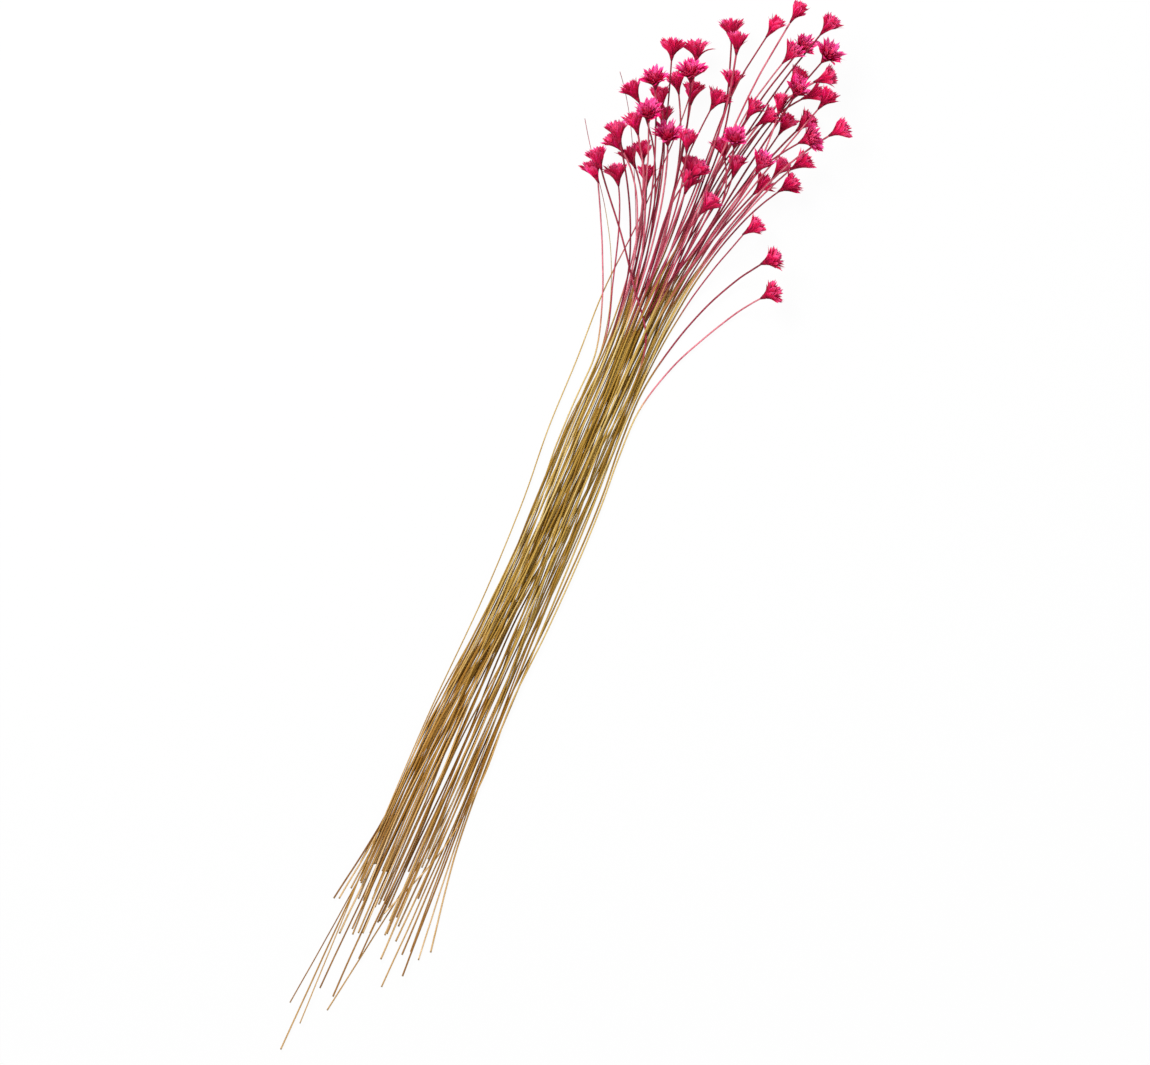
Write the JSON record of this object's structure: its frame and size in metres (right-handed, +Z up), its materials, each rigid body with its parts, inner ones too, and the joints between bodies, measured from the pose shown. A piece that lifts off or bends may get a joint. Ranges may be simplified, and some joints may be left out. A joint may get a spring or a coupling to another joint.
{
  "type": "bunch of dried hill flowers",
  "caption": "Loose gathered bunch of long dried flowers: thin straw stems dyed rose towards the top, each with one magenta star-shaped head of pointed bracts.",
  "frame": {"origin": "on the surface that the bunch lies on, under the middle of its box", "axes": "+Y along the bunch from the cut ends to the heads, +Z up off the surface, +X to the right seen from above"},
  "size_m": [0.1276, 0.5844, 0.0432],
  "materials": {
    "dyed_flower": "matte dyed straw",
    "straw_stem": "matte dry straw"
  },
  "bodies": {
    "root": {"flower_01": "dyed_flower", "flower_02": "dyed_flower", "flower_03": "dyed_flower", "flower_04": "dyed_flower", "flower_05": "dyed_flower", "flower_06": "dyed_flower", "flower_07": "dyed_flower", "flower_08": "dyed_flower", "flower_09": "dyed_flower", "flower_10": "dyed_flower", "flower_11": "dyed_flower", "flower_12": "dyed_flower", "flower_13": "dyed_flower", "flower_14": "dyed_flower", "flower_15": "dyed_flower", "flower_16": "dyed_flower", "flower_17": "dyed_flower", "flower_18": "dyed_flower", "flower_19": "dyed_flower", "flower_20": "dyed_flower", "flower_21": "dyed_flower", "flower_22": "dyed_flower", "flower_23": "dyed_flower", "flower_24": "dyed_flower", "flower_25": "dyed_flower", "flower_26": "dyed_flower", "flower_27": "dyed_flower", "flower_28": "dyed_flower", "flower_29": "dyed_flower", "flower_30": "dyed_flower", "flower_31": "dyed_flower", "flower_32": "dyed_flower", "flower_33": "dyed_flower", "flower_34": "dyed_flower", "flower_35": "dyed_flower", "flower_36": "dyed_flower", "flower_37": "dyed_flower", "flower_38": "dyed_flower", "flower_39": "dyed_flower", "flower_40": "dyed_flower", "flower_41": "dyed_flower", "flower_42": "dyed_flower", "flower_43": "dyed_flower", "flower_44": "dyed_flower", "flower_45": "dyed_flower", "flower_46": "dyed_flower", "flower_47": "dyed_flower", "flower_48": "dyed_flower", "flower_49": "dyed_flower", "flower_50": "dyed_flower", "flower_51": "dyed_flower", "flower_52": "dyed_flower", "flower_53": "dyed_flower", "flower_54": "dyed_flower", "flower_55": "dyed_flower", "flower_56": "dyed_flower", "flower_57": "dyed_flower", "flower_58": "dyed_flower", "bare_stem_1": "straw_stem", "bare_stem_2": "straw_stem"}
  },
  "joints": []
}
